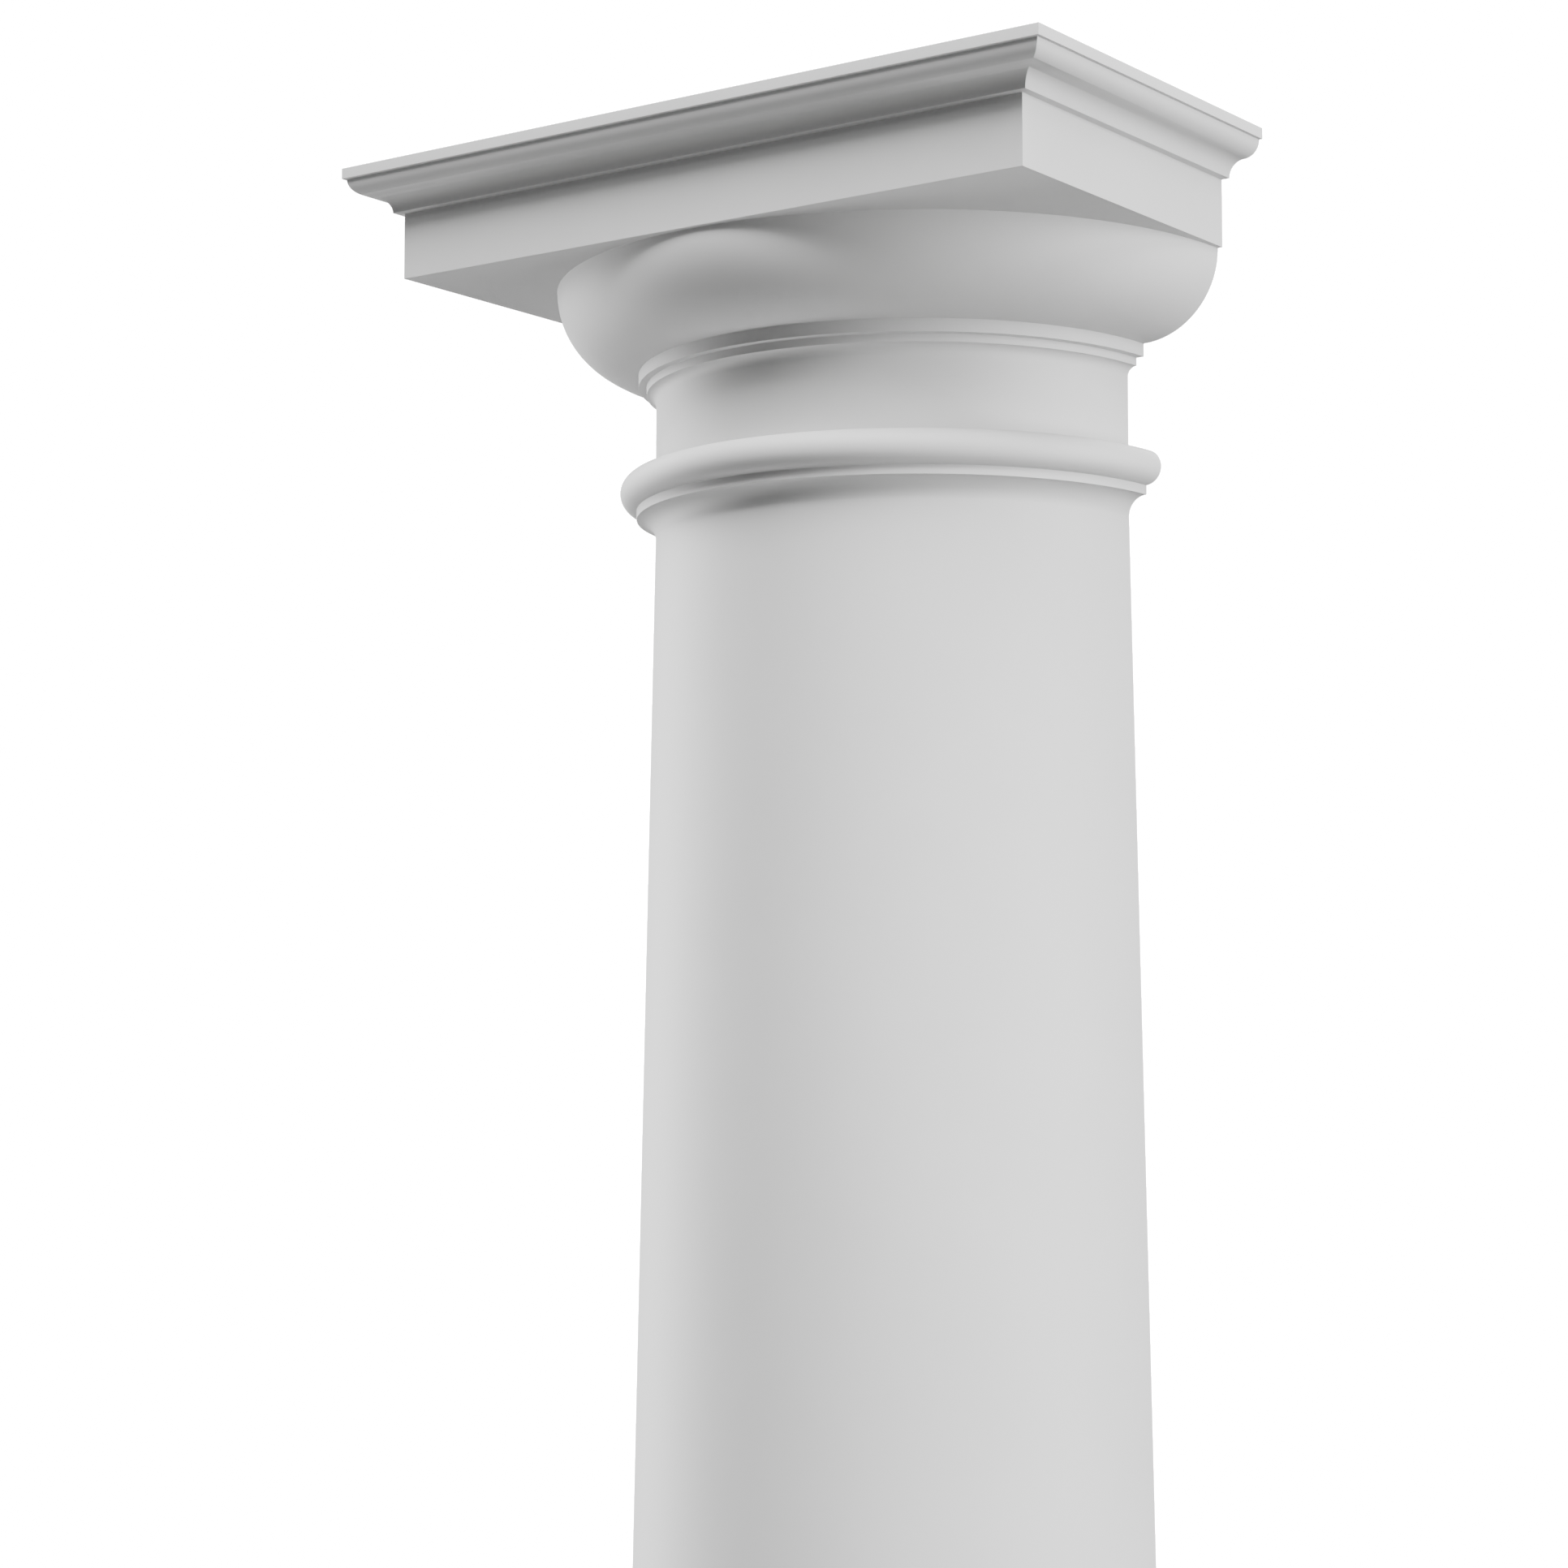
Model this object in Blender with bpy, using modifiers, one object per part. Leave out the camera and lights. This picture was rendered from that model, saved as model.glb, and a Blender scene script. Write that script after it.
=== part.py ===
# A half column of the Roman Doric kind with a flat back, for standing against a wall.
# Three mouldings stand on one another: the base, the shaft with its bead, and the capital.
# Metres, +Z up, front towards -Y. The origin is on the floor in the middle of the plinth.
# Outlines are lists of (radius, height) round the column's axis, from top to bottom.

import bpy
import bmesh
from math import acos, cos, degrees, radians, sin, sqrt

# Whole column, and the thin bed joint between two pieces
COLUMN_HEIGHT = 2.600
BED_JOINT = 0.0003

# Abacus: a square slab with a crown fillet, a cyma reversa and a plain face.
# A step is how far a moulding stands out past the one that it springs from.
CROWN_HEIGHT = 0.0061
CROWN_STEP = 0.0020
CYMA_RADIUS = 0.0092
DRIP_STEP = 0.0047
ABACUS_FACE_HEIGHT = 0.0374
ABACUS_STEP = 0.0028

# Echinus, its two annulets, the sweep under them and the neck
ECHINUS_RADIUS = 0.0467
UPPER_ANNULET_HEIGHT = 0.0073
UPPER_ANNULET_STEP = 0.0046
LOWER_ANNULET_HEIGHT = 0.0045
NECK_SWEEP = 0.0056
NECK_RADIUS = 0.1450
NECK_HEIGHT = 0.0417

# Shaft: bead and fillet at the top, straight taper from the neck's radius, fillet at the foot
BEAD_RADIUS = 0.0097
BEAD_STEP = 0.0093
TOP_FILLET_HEIGHT = 0.0052
TOP_FILLET_STEP = 0.0111
SHAFT_FOOT_RADIUS = 0.1867
FOOT_FILLET_STEP = 0.0233
FOOT_FILLET_HEIGHT = 0.0155

# Base: a torus with a ledge round the foot of the shaft, on a square plinth
FOOT_LEDGE = 0.0030
TORUS_HEIGHT = 0.0780
PLINTH_STEP = 0.0040
PLINTH_HEIGHT = 0.0930

# Facets: sides of a full turn, and steps of a quarter of an arc
TURN_STEPS = 96
SQUARE_STEPS = 4
QUARTER_STEPS = 6
LARGE_QUARTER_STEPS = 9
SNAP = 0.00001
SHARP_ANGLE = radians(30)

# Finish: light matt primer
PRIMER_COLOUR = (0.58, 0.58, 0.58)
PRIMER_ROUGHNESS = 0.65

# Heights of the beds, worked out from the floor and from the top
shaft_bottom = PLINTH_HEIGHT + TORUS_HEIGHT + BED_JOINT
echinus_top = COLUMN_HEIGHT - CROWN_HEIGHT - 2 * CYMA_RADIUS - ABACUS_FACE_HEIGHT
echinus_bottom = echinus_top - ECHINUS_RADIUS
annulets_bottom = echinus_bottom - UPPER_ANNULET_HEIGHT - LOWER_ANNULET_HEIGHT
capital_bottom = annulets_bottom - NECK_SWEEP - NECK_HEIGHT
shaft_top = capital_bottom - BED_JOINT

# Radii of the turned mouldings, and half widths of the square ones, from the neck outwards
lower_annulet = NECK_RADIUS + NECK_SWEEP
upper_annulet = lower_annulet + UPPER_ANNULET_STEP
echinus_reach = upper_annulet + ECHINUS_RADIUS
abacus_face = echinus_reach + ABACUS_STEP
cyma_waist = abacus_face + DRIP_STEP + CYMA_RADIUS
crown_edge = cyma_waist + CYMA_RADIUS + CROWN_STEP
top_fillet = NECK_RADIUS + TOP_FILLET_STEP
bead_reach = top_fillet + BEAD_STEP

# The same from the foot of the shaft outwards
foot_fillet = SHAFT_FOOT_RADIUS + FOOT_FILLET_STEP
torus_centre = foot_fillet + FOOT_LEDGE
plinth_edge = torus_centre + TORUS_HEIGHT / 2 + PLINTH_STEP

# The flat back holds the column's axis
back_y = plinth_edge / 2


def clear_scene():
    for item in list(bpy.data.objects):
        bpy.data.objects.remove(item, do_unlink=True)


def make_collection(name):
    collection = bpy.data.collections.new(name)
    bpy.context.scene.collection.children.link(collection)
    return collection


def make_primer(name):
    material = bpy.data.materials.new(name)
    material.use_nodes = True
    shader = material.node_tree.nodes["Principled BSDF"]
    shader.inputs["Base Color"].default_value = (*PRIMER_COLOUR, 1.0)
    shader.inputs["Roughness"].default_value = PRIMER_ROUGHNESS
    shader.inputs["Metallic"].default_value = 0.0
    return material


def arc(centre_radius, centre_height, radius, start, end, steps):
    """Points of a round stretch, from the start angle to the end angle in degrees."""
    points = []
    for step in range(steps + 1):
        angle = radians(start + (end - start) * step / steps)
        points.append((centre_radius + radius * cos(angle), centre_height + radius * sin(angle)))
    return points


def turned(name, outline, collection, square=False):
    """Turns an outline round the column's axis. A square one is given by its half widths."""
    reach = sqrt(2) if square else 1.0
    steps = SQUARE_STEPS if square else TURN_STEPS
    mesh = bpy.data.meshes.new(name)
    points = [(radius * reach, 0.0, height) for radius, height in outline]
    mesh.from_pydata(points, [(i, i + 1) for i in range(len(points) - 1)], [])
    body = bpy.data.objects.new(name, mesh)
    collection.objects.link(body)
    body.location.y = back_y
    body.rotation_euler.z = radians(45) if square else 0.0
    screw = body.modifiers.new("turn", 'SCREW')
    screw.axis = 'Z'
    screw.angle = radians(360)
    screw.screw_offset = 0.0
    screw.steps = steps
    screw.render_steps = steps
    screw.use_merge_vertices = True
    screw.merge_threshold = SNAP
    return body


def apply_modifiers(body):
    bpy.ops.object.select_all(action='DESELECT')
    body.select_set(True)
    bpy.context.view_layer.objects.active = body
    for name in [modifier.name for modifier in body.modifiers]:
        bpy.ops.object.modifier_apply(modifier=name)


def join_solid(body, other):
    """Makes two overlapping solids one, and takes the second away."""
    union = body.modifiers.new("union", 'BOOLEAN')
    union.operation = 'UNION'
    union.solver = 'EXACT'
    union.object = other
    apply_modifiers(body)
    bpy.data.objects.remove(other, do_unlink=True)


def cut_flat_back(body):
    """Keeps the front half and closes it with one flat face through the axis."""
    bm = bmesh.new()
    bm.from_mesh(body.data)
    geometry = bm.verts[:] + bm.edges[:] + bm.faces[:]
    bmesh.ops.bisect_plane(bm, geom=geometry, dist=SNAP, plane_co=(0, 0, 0),
                           plane_no=(0, 1, 0), clear_outer=True)
    bmesh.ops.remove_doubles(bm, verts=bm.verts, dist=SNAP)
    rim = [edge for edge in bm.edges if edge.is_boundary]
    bmesh.ops.edgenet_fill(bm, edges=rim)
    bmesh.ops.recalc_face_normals(bm, faces=bm.faces)
    bm.to_mesh(body.data)
    bm.free()


def shade_round(body):
    body.data.shade_smooth()
    body.data.set_sharp_from_angle(angle=SHARP_ANGLE)


def abacus_outline():
    """Half widths of the square slab. The cyma is a round swelling over a hollow."""
    swelling_height = COLUMN_HEIGHT - CROWN_HEIGHT
    hollow_height = swelling_height - 2 * CYMA_RADIUS
    outline = [(0, COLUMN_HEIGHT), (crown_edge, COLUMN_HEIGHT), (crown_edge, swelling_height)]
    outline += arc(cyma_waist, swelling_height, CYMA_RADIUS, 0, -90, QUARTER_STEPS)
    outline += arc(cyma_waist, hollow_height, CYMA_RADIUS, 90, 180, QUARTER_STEPS)[1:]
    outline += [(abacus_face, hollow_height), (abacus_face, echinus_top), (0, echinus_top)]
    return outline


def bell_outline():
    """Echinus, annulets and neck. The top runs up inside the abacus, to be joined to it."""
    root = echinus_top + ABACUS_FACE_HEIGHT / 2
    upper_bottom = echinus_bottom - UPPER_ANNULET_HEIGHT
    outline = [(0, root), (echinus_reach, root)]
    outline += arc(upper_annulet, echinus_top, ECHINUS_RADIUS, 0, -90, LARGE_QUARTER_STEPS)
    outline += [(upper_annulet, upper_bottom), (lower_annulet, upper_bottom)]
    outline += arc(lower_annulet, annulets_bottom - NECK_SWEEP, NECK_SWEEP, 90, 180, QUARTER_STEPS)
    outline += [(NECK_RADIUS, capital_bottom), (0, capital_bottom)]
    return outline


def shaft_outline():
    """Bead, fillet and sweep at the top, straight taper, sweep and fillet at the foot."""
    bead_centre = bead_reach - BEAD_RADIUS
    bead_height = shaft_top - BEAD_RADIUS
    fillet_top = bead_height - BEAD_RADIUS
    fillet_bottom = fillet_top - TOP_FILLET_HEIGHT
    foot_fillet_top = shaft_bottom + FOOT_FILLET_HEIGHT
    # The bead runs down onto the fillet's face, or to its own lowest point if the fillet is further in
    sunk = max(0.0, top_fillet - bead_centre)
    bead_end = -degrees(acos(sunk / BEAD_RADIUS))
    outline = [(0, shaft_top)]
    outline += arc(bead_centre, bead_height, BEAD_RADIUS, 90, bead_end, 2 * QUARTER_STEPS)
    if bead_centre > top_fillet:
        outline.append((top_fillet, fillet_top))
    outline += arc(top_fillet, fillet_bottom - TOP_FILLET_STEP, TOP_FILLET_STEP,
                   90, 180, QUARTER_STEPS)
    outline += arc(foot_fillet, foot_fillet_top + FOOT_FILLET_STEP, FOOT_FILLET_STEP,
                   180, 270, QUARTER_STEPS)
    outline += [(foot_fillet, shaft_bottom), (0, shaft_bottom)]
    return outline


def torus_outline():
    """The torus, whose foot runs down inside the plinth, to be joined to it."""
    radius = TORUS_HEIGHT / 2
    root = PLINTH_HEIGHT / 2
    outline = [(0, PLINTH_HEIGHT + TORUS_HEIGHT)]
    outline += arc(torus_centre, PLINTH_HEIGHT + radius, radius, 90, -90, 2 * LARGE_QUARTER_STEPS)
    outline += [(torus_centre, root), (0, root)]
    return outline


def plinth_outline():
    return [(0, PLINTH_HEIGHT), (plinth_edge, PLINTH_HEIGHT), (plinth_edge, 0), (0, 0)]


def build_capital(collection):
    capital = turned("capital", bell_outline(), collection)
    abacus = turned("abacus_block", abacus_outline(), collection, square=True)
    join_solid(capital, abacus)
    return capital


def build_shaft(collection):
    shaft = turned("shaft", shaft_outline(), collection)
    apply_modifiers(shaft)
    return shaft


def build_base(collection):
    base = turned("base", torus_outline(), collection)
    plinth = turned("plinth_block", plinth_outline(), collection, square=True)
    join_solid(base, plinth)
    return base


def main():
    clear_scene()
    column = make_collection("half_column")
    for build in (build_capital, build_shaft, build_base):
        piece = build(column)
        cut_flat_back(piece)
        shade_round(piece)
        piece.data.materials.append(make_primer(piece.name + "_white"))


main()
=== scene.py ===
import bpy
from math import acos, cos, degrees, pi, radians, sin
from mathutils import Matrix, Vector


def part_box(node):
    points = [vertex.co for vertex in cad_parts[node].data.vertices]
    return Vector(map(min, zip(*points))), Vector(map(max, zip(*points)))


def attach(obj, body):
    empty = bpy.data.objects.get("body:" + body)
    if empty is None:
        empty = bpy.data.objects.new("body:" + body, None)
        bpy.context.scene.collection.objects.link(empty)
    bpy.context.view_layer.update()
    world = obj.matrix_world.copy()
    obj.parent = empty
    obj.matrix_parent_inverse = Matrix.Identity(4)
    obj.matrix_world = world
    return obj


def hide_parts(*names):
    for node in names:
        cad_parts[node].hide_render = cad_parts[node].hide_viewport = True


# Half column with a flat back, seen from below and from the right of its front.
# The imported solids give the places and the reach; the mouldings are turned again here, finer.

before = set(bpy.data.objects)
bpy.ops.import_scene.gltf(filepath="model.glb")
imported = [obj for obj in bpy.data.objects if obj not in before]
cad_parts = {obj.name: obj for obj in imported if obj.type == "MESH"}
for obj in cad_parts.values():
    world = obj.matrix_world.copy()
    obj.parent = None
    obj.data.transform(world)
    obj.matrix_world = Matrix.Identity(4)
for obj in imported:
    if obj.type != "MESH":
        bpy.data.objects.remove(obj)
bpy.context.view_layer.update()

capitalLow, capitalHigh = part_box("capital")
shaftLow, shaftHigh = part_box("shaft")
baseLow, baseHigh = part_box("base")
wallPlane = capitalHigh[1]  # the flat back, which holds the column's axis

turning = {
    "seedSize": 0.01,  # the little plane that an outline is drawn on from
    "steps": 256,  # facets of a full turn
    "arcStep": 5.0,  # degrees of a round moulding for each facet
    "mergeDistance": 0.00001,
    "smoothAngle": 35.0,
    "arrisRadius": 0.0003,
    "arrisSegments": 2,
    "wideFaceWeight": 80,  # wide faces keep their own shade right up to an arris
}


def roundStretch(centreRadius, centreHeight, radius, start, end):
    steps = round(abs(end - start) / turning["arcStep"])
    points = []
    for step in range(steps + 1):
        angle = radians(start + (end - start) * step / steps)
        points.append((centreRadius + radius * cos(angle), centreHeight + radius * sin(angle)))
    return points


def selectOnly(piece):
    bpy.ops.object.select_all(action='DESELECT')
    piece.select_set(True)
    bpy.context.view_layer.objects.active = piece


def startEditing(piece):
    selectOnly(piece)
    bpy.ops.object.mode_set(mode='EDIT')
    bpy.context.tool_settings.mesh_select_mode = (True, False, False)
    bpy.ops.mesh.select_all(action='SELECT')


def turnOutline(name, outline):
    # a plane shrunk to one point, drawn on from point to point, then spun round the axis
    radius, height = outline[0]
    bpy.ops.object.select_all(action='DESELECT')
    bpy.ops.mesh.primitive_plane_add(size=turning["seedSize"], location=(radius, wallPlane, height))
    piece = bpy.context.object
    piece.name = name
    startEditing(piece)
    bpy.ops.mesh.merge(type='CENTER')
    for nextRadius, nextHeight in outline[1:]:
        move = (nextRadius - radius, 0, nextHeight - height)
        bpy.ops.mesh.extrude_region_move(TRANSFORM_OT_translate={"value": move})
        radius, height = nextRadius, nextHeight
    bpy.ops.mesh.select_all(action='SELECT')
    bpy.ops.mesh.spin(steps=turning["steps"], angle=2 * pi, center=(0, wallPlane, 0), axis=(0, 0, 1))
    bpy.ops.mesh.select_all(action='SELECT')
    bpy.ops.mesh.remove_doubles(threshold=turning["mergeDistance"])
    bpy.ops.mesh.normals_make_consistent(inside=False)
    bpy.ops.object.mode_set(mode='OBJECT')
    return piece


def stackSquares(name, outline):
    # a square slab, raised from its underside and widened at each point of the outline
    halfWidth, height = outline[0]
    bpy.ops.object.select_all(action='DESELECT')
    bpy.ops.mesh.primitive_plane_add(size=2 * halfWidth, location=(0, wallPlane, height))
    piece = bpy.context.object
    piece.name = name
    startEditing(piece)
    for nextHalfWidth, nextHeight in outline[1:]:
        move = (0, 0, nextHeight - height)
        ratio = nextHalfWidth / halfWidth
        bpy.ops.mesh.extrude_region_move(TRANSFORM_OT_translate={"value": move})
        bpy.ops.transform.resize(value=(ratio, ratio, 1), center_override=(0, wallPlane, nextHeight))
        halfWidth, height = nextHalfWidth, nextHeight
    bpy.ops.mesh.select_all(action='SELECT')
    bpy.ops.mesh.normals_make_consistent(inside=False)
    bpy.ops.object.mode_set(mode='OBJECT')
    return piece


def joinSlab(piece, slab):
    selectOnly(piece)
    union = piece.modifiers.new("slab", 'BOOLEAN')
    union.operation = 'UNION'
    union.solver = 'EXACT'
    union.object = slab
    bpy.ops.object.modifier_apply(modifier=union.name)
    bpy.data.objects.remove(slab)
    startEditing(piece)
    bpy.ops.mesh.remove_doubles(threshold=turning["mergeDistance"])
    bpy.ops.object.mode_set(mode='OBJECT')


def cutAtWall(piece):
    startEditing(piece)
    bpy.ops.mesh.bisect(plane_co=(0, wallPlane, 0), plane_no=(0, 1, 0), use_fill=True,
                        clear_outer=True, threshold=turning["mergeDistance"])
    bpy.ops.mesh.select_all(action='SELECT')
    bpy.ops.mesh.normals_make_consistent(inside=False)
    bpy.ops.object.mode_set(mode='OBJECT')


def softenArrises(piece):
    selectOnly(piece)
    bpy.ops.object.transform_apply(location=True, rotation=True, scale=True)
    arris = piece.modifiers.new("arris", 'BEVEL')
    arris.width = turning["arrisRadius"]
    arris.segments = turning["arrisSegments"]
    arris.limit_method = 'ANGLE'
    arris.angle_limit = radians(turning["smoothAngle"])
    bpy.ops.object.modifier_apply(modifier=arris.name)
    bpy.ops.object.shade_smooth_by_angle(angle=radians(turning["smoothAngle"]))
    evenShade = piece.modifiers.new("evenShade", 'WEIGHTED_NORMAL')
    evenShade.weight = turning["wideFaceWeight"]
    evenShade.keep_sharp = True
    bpy.ops.object.modifier_apply(modifier=evenShade.name)


# Finish: matt white primer on a smooth moulding, with a faint mottle and a fine grain

primer = {
    "darkest": 0.572,
    "lightest": 0.588,
    "darkestAt": 0.35,  # where in the mottle's range the tone starts to rise
    "lightestAt": 0.65,
    "mottleScale": 14.0,
    "mottleDetail": 6.0,
    "mottleRoughness": 0.6,
    "grainScale": 900.0,
    "grainDetail": 3.0,
    "grainStrength": 0.3,
    "grainDepth": 0.00004,
    "roughnessLow": 0.58,
    "roughnessHigh": 0.64,
}


def grey(tone):
    return (tone, tone, tone, 1.0)


def mouldedWhite(name, shift):
    material = bpy.data.materials.new(name)
    material.use_nodes = True
    nodes = material.node_tree.nodes
    link = material.node_tree.links.new
    shader = nodes["Principled BSDF"]
    place = nodes.new("ShaderNodeTexCoord")
    moved = nodes.new("ShaderNodeMapping")
    moved.inputs["Location"].default_value = (shift, shift, shift)
    link(place.outputs["Object"], moved.inputs["Vector"])

    mottle = nodes.new("ShaderNodeTexNoise")
    mottle.inputs["Scale"].default_value = primer["mottleScale"]
    mottle.inputs["Detail"].default_value = primer["mottleDetail"]
    mottle.inputs["Roughness"].default_value = primer["mottleRoughness"]
    link(moved.outputs["Vector"], mottle.inputs["Vector"])

    tone = nodes.new("ShaderNodeValToRGB")
    tone.color_ramp.elements[0].position = primer["darkestAt"]
    tone.color_ramp.elements[1].position = primer["lightestAt"]
    tone.color_ramp.elements[0].color = grey(primer["darkest"])
    tone.color_ramp.elements[1].color = grey(primer["lightest"])
    link(mottle.outputs["Fac"], tone.inputs["Fac"])
    link(tone.outputs["Color"], shader.inputs["Base Color"])

    matt = nodes.new("ShaderNodeMapRange")
    matt.inputs["To Min"].default_value = primer["roughnessLow"]
    matt.inputs["To Max"].default_value = primer["roughnessHigh"]
    link(mottle.outputs["Fac"], matt.inputs["Value"])
    link(matt.outputs["Result"], shader.inputs["Roughness"])

    grain = nodes.new("ShaderNodeTexNoise")
    grain.inputs["Scale"].default_value = primer["grainScale"]
    grain.inputs["Detail"].default_value = primer["grainDetail"]
    link(moved.outputs["Vector"], grain.inputs["Vector"])
    bump = nodes.new("ShaderNodeBump")
    bump.inputs["Strength"].default_value = primer["grainStrength"]
    bump.inputs["Distance"].default_value = primer["grainDepth"]
    link(grain.outputs["Fac"], bump.inputs["Height"])
    link(bump.outputs["Normal"], shader.inputs["Normal"])
    return material


def finishMoulding(piece, node, mottleShift):
    cutAtWall(piece)
    softenArrises(piece)
    piece.data.materials.append(mouldedWhite(node + "Primer", mottleShift))
    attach(piece, "root")
    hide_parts(node)
    print("moulding", piece.name, len(piece.data.vertices), "points")


# Capital: neck, annulets, echinus and abacus in one moulding.
# A step is how far a moulding stands out past the one that it springs from.

capital = {
    "crownHeight": 0.0061,
    "crownStep": 0.0020,
    "cymaRadius": 0.0092,
    "dripStep": 0.0047,
    "faceHeight": 0.0374,
    "echinusRadius": 0.0467,
    "upperAnnuletHeight": 0.0073,
    "upperAnnuletStep": 0.0046,
    "lowerAnnuletHeight": 0.0045,
    "neckSweep": 0.0056,
    "neckRadius": 0.1450,  # the shaft starts with it too
    "mottleShift": 0.0,  # each moulding has its own stretch of the primer's mottle
}


def makeCapital():
    crown = capitalHigh[0]
    top = capitalHigh[2]
    cyma = capital["cymaRadius"]
    crownBottom = top - capital["crownHeight"]
    dripHeight = crownBottom - 2 * cyma
    echinusTop = dripHeight - capital["faceHeight"]
    waist = crown - capital["crownStep"] - cyma
    face = waist - cyma - capital["dripStep"]
    slabOutline = [(face, echinusTop), (face, dripHeight)]
    slabOutline += roundStretch(waist, dripHeight, cyma, 180, 90)
    slabOutline += roundStretch(waist, crownBottom, cyma, -90, 0)[1:]
    slabOutline += [(crown, crownBottom), (crown, top)]

    neck = capital["neckRadius"]
    sweep = capital["neckSweep"]
    echinus = capital["echinusRadius"]
    lower = neck + sweep
    upper = lower + capital["upperAnnuletStep"]
    upperBottom = echinusTop - echinus - capital["upperAnnuletHeight"]
    lowerBottom = upperBottom - capital["lowerAnnuletHeight"]
    root = echinusTop + capital["faceHeight"] / 2  # inside the slab, to be joined to it
    bellOutline = [(0, root), (upper + echinus, root)]
    bellOutline += roundStretch(upper, echinusTop, echinus, 0, -90)
    bellOutline += [(upper, upperBottom), (lower, upperBottom)]
    bellOutline += roundStretch(lower, lowerBottom - sweep, sweep, 90, 180)
    bellOutline += [(neck, capitalLow[2]), (0, capitalLow[2])]

    piece = turnOutline("capitalMoulding", bellOutline)
    joinSlab(piece, stackSquares("abacusSlab", slabOutline))
    finishMoulding(piece, "capital", capital["mottleShift"])


# Shaft: bead and fillet, straight taper, fillet at the foot

shaft = {
    "beadRadius": 0.0097,
    "beadStep": 0.0093,
    "topFilletHeight": 0.0052,
    "topFilletStep": 0.0111,
    "footRadius": 0.1867,
    "footFilletHeight": 0.0155,
    "mottleShift": 3.1,
}


def makeShaft():
    top = shaftHigh[2]
    bottom = shaftLow[2]
    bead = shaft["beadRadius"]
    topSweep = shaft["topFilletStep"]
    topFillet = capital["neckRadius"] + topSweep
    filletBottom = top - 2 * bead - shaft["topFilletHeight"]
    beadCentre = topFillet + shaft["beadStep"] - bead
    beadEnd = -degrees(acos((topFillet - beadCentre) / bead))  # on the fillet's face
    footFillet = shaftHigh[0]
    footSweep = footFillet - shaft["footRadius"]
    footFilletTop = bottom + shaft["footFilletHeight"]
    outline = [(0, top)]
    outline += roundStretch(beadCentre, top - bead, bead, 90, beadEnd)
    outline += roundStretch(topFillet, filletBottom - topSweep, topSweep, 90, 180)
    outline += roundStretch(footFillet, footFilletTop + footSweep, footSweep, 180, 270)
    outline += [(footFillet, bottom), (0, bottom)]
    piece = turnOutline("shaftMoulding", outline)
    finishMoulding(piece, "shaft", shaft["mottleShift"])


# Base: torus on a square plinth

base = {
    "plinthHeight": 0.0930,
    "plinthStep": 0.0040,
    "mottleShift": 7.3,
}


def makeBase():
    top = baseHigh[2]
    bottom = baseLow[2]
    plinth = baseHigh[0]
    plinthTop = bottom + base["plinthHeight"]
    torus = (top - plinthTop) / 2
    centre = plinth - base["plinthStep"] - torus
    root = bottom + base["plinthHeight"] / 2  # inside the plinth, to be joined to it
    torusOutline = [(0, top)]
    torusOutline += roundStretch(centre, plinthTop + torus, torus, 90, -90)
    torusOutline += [(centre, root), (0, root)]
    plinthOutline = [(plinth, bottom), (plinth, plinthTop)]
    piece = turnOutline("baseMoulding", torusOutline)
    joinSlab(piece, stackSquares("plinthSlab", plinthOutline))
    finishMoulding(piece, "base", base["mottleShift"])


# Backdrop: the camera sees it at its full brightness, but it throws only a little light

backdrop = {
    "brightness": 4.6,
    "ambient": 0.16,
}


def makeBackdrop():
    world = bpy.data.worlds.new("studio")
    world.use_nodes = True
    nodes = world.node_tree.nodes
    link = world.node_tree.links.new
    seen = nodes["Background"]
    seen.inputs["Color"].default_value = grey(1.0)
    seen.inputs["Strength"].default_value = backdrop["brightness"]
    thrown = nodes.new("ShaderNodeBackground")
    thrown.inputs["Color"].default_value = grey(1.0)
    thrown.inputs["Strength"].default_value = backdrop["ambient"]
    eye = nodes.new("ShaderNodeLightPath")
    choose = nodes.new("ShaderNodeMixShader")
    link(eye.outputs["Is Camera Ray"], choose.inputs["Fac"])
    link(thrown.outputs["Background"], choose.inputs[1])
    link(seen.outputs["Background"], choose.inputs[2])
    link(choose.outputs["Shader"], nodes["World Output"].inputs["Surface"])
    bpy.context.scene.world = world


# Film curve: soft highlights on the column, and a backdrop that comes out pure white.
# Above the brightest white of the column the curve climbs steeply, so that the backdrop
# need not be so bright that it eats into the outline.

film = {
    "brightestObject": 3.0,
    "pureWhite": 22.0,
}


def makeFilmLook():
    view = bpy.context.scene.view_settings
    view.view_transform = 'Filmic'
    view.use_curve_mapping = True
    mapping = view.curve_mapping
    mapping.use_clip = False
    mapping.white_level = (backdrop["brightness"],) * 3
    curve = mapping.curves[3]  # the one that all three colours share
    curve.points[1].location = (1.0, film["pureWhite"])
    curve.points.new(film["brightestObject"] / backdrop["brightness"], film["brightestObject"])
    for point in curve.points:
        point.handle_type = 'VECTOR'
    mapping.update()


# Floor: a pale disc that runs out into the white of the backdrop

floorDisc = {
    "radius": 6.0,
    "sides": 128,
    "tone": 0.85,
    "roughness": 0.9,
    "glow": 0.6,  # its own brightness at the column
    "sweepStart": 1.0,  # from here out it grows to the backdrop's brightness
}


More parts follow.
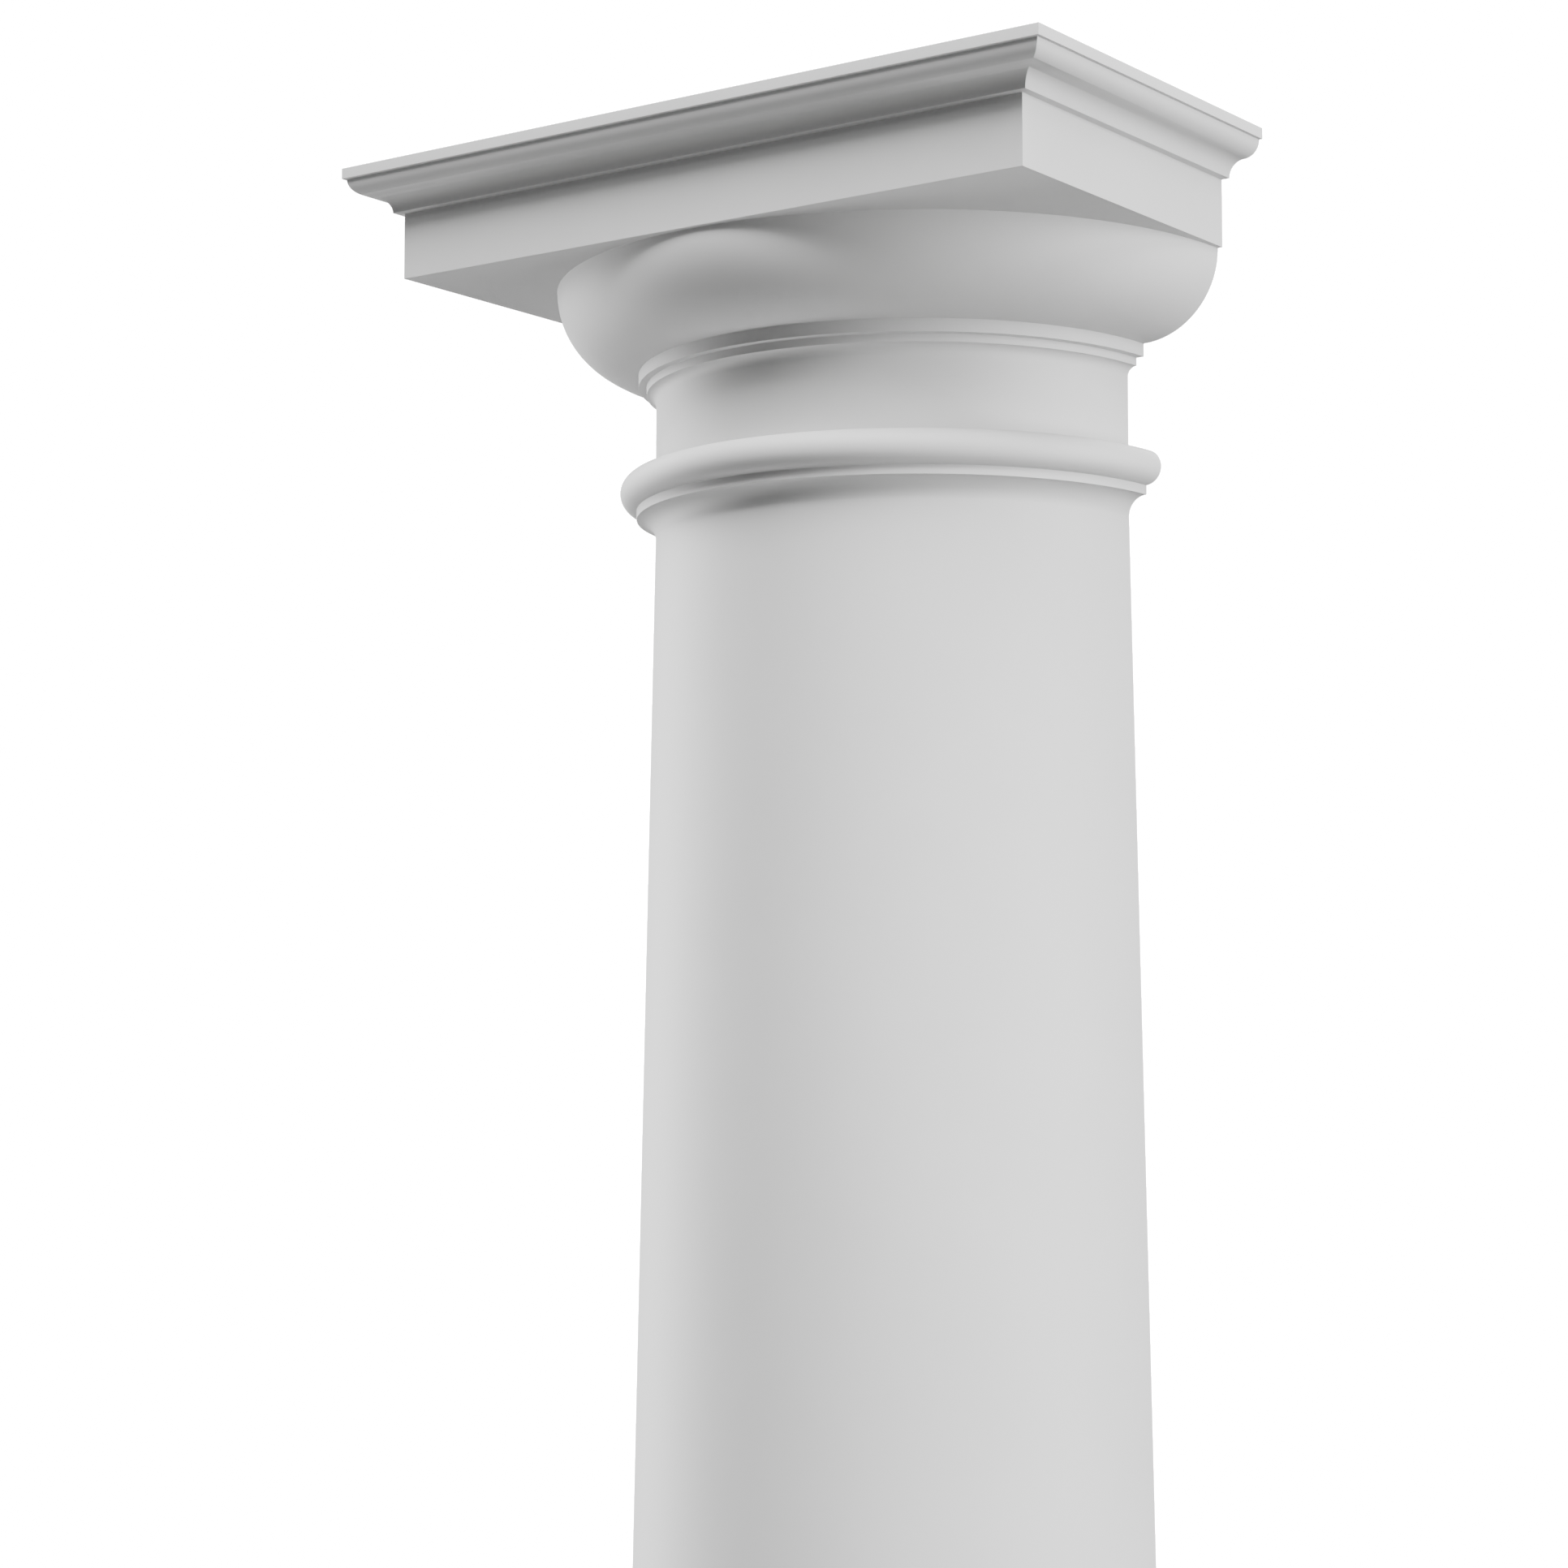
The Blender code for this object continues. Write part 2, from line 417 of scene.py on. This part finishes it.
def makeFloor():
    bpy.ops.object.select_all(action='DESELECT')
    bpy.ops.mesh.primitive_circle_add(vertices=floorDisc["sides"], radius=floorDisc["radius"],
                                      fill_type='NGON')
    floor = bpy.context.object
    floor.name = "floor"
    material = bpy.data.materials.new("paleFloor")
    material.use_nodes = True
    nodes = material.node_tree.nodes
    link = material.node_tree.links.new
    shader = nodes["Principled BSDF"]
    shader.inputs["Base Color"].default_value = grey(floorDisc["tone"])
    shader.inputs["Roughness"].default_value = floorDisc["roughness"]
    shader.inputs["Emission Color"].default_value = grey(1.0)
    place = nodes.new("ShaderNodeTexCoord")
    reach = nodes.new("ShaderNodeVectorMath")
    reach.operation = 'LENGTH'
    link(place.outputs["Object"], reach.inputs["Vector"])
    sweep = nodes.new("ShaderNodeMapRange")
    sweep.interpolation_type = 'SMOOTHSTEP'
    sweep.inputs["From Min"].default_value = floorDisc["sweepStart"]
    sweep.inputs["From Max"].default_value = floorDisc["radius"]
    sweep.inputs["To Min"].default_value = floorDisc["glow"]
    sweep.inputs["To Max"].default_value = backdrop["brightness"]
    link(reach.outputs["Value"], sweep.inputs["Value"])
    link(sweep.outputs["Result"], shader.inputs["Emission Strength"])
    floor.data.materials.append(material)
    floor.visible_diffuse = False  # the photograph has no light thrown up from below
    floor.visible_glossy = False


# Soft boxes. Side is in degrees from the front towards the right, distance from the column's
# axis on plan, nod the slope down towards the column; glow is the brightness of the cloth.

softBoxes = {
    "frontBox": {"side": 1, "distance": 2.4, "height": 6.3, "nod": 61,
                 "width": 4.4, "tall": 2.7, "glow": 11.8},
    "cornerBox": {"side": 44, "distance": 4.35, "height": 5.6, "nod": 38,
                  "width": 3.3, "tall": 1.4, "glow": 12.0},
    "leftBox": {"side": -91, "distance": 3.2, "height": 2.7, "nod": 0,
                "width": 0.95, "tall": 4.3, "glow": 16.2},
    "rightBox": {"side": 96.5, "distance": 3.8, "height": 2.15, "nod": 0,
                 "width": 1.5, "tall": 4.0, "glow": 12.4},
    "backBox": {"side": 180, "distance": 4.0, "height": 4.6, "nod": 35,
                "width": 1.2, "tall": 2.5, "glow": 11.0},
}


def makeSoftBox(name, box):
    light = bpy.data.lights.new(name, 'AREA')
    light.shape = 'RECTANGLE'
    light.size = box["width"]
    light.size_y = box["tall"]
    light.energy = box["glow"] * pi * box["width"] * box["tall"]  # power of a cloth this bright
    lamp = bpy.data.objects.new(name, light)
    bpy.context.scene.collection.objects.link(lamp)
    side = radians(box["side"])
    distance = box["distance"]
    lamp.location = (distance * sin(side), wallPlane - distance * cos(side), box["height"])
    lamp.rotation_euler = (radians(90 - box["nod"]), 0, side)
    lamp.visible_camera = False


# Camera, at the place and angle of the photograph's

photographView = {
    "focalLength": 80.0,
    "sensorWidth": 36.0,
    "distance": 1.9764,  # from the column's axis, on plan
    "side": 33.70,  # degrees from the front towards the right
    "height": 2.0791,
    "turn": 35.78,  # degrees from straight back towards the left
    "tilt": 5.14,  # degrees upwards
}


def makeCamera():
    lens = bpy.data.cameras.new("photographView")
    lens.lens = photographView["focalLength"]
    lens.sensor_width = photographView["sensorWidth"]
    camera = bpy.data.objects.new("photographView", lens)
    bpy.context.scene.collection.objects.link(camera)
    side = radians(photographView["side"])
    distance = photographView["distance"]
    camera.location = (distance * sin(side), wallPlane - distance * cos(side), photographView["height"])
    camera.rotation_euler = (radians(90 + photographView["tilt"]), 0, radians(photographView["turn"]))
    bpy.context.scene.camera = camera
    print("camera set")


makeCamera()
makeCapital()
makeShaft()
makeBase()
makeFloor()
for boxName, softBox in softBoxes.items():
    makeSoftBox(boxName, softBox)
makeBackdrop()
makeFilmLook()
print("studio ready")
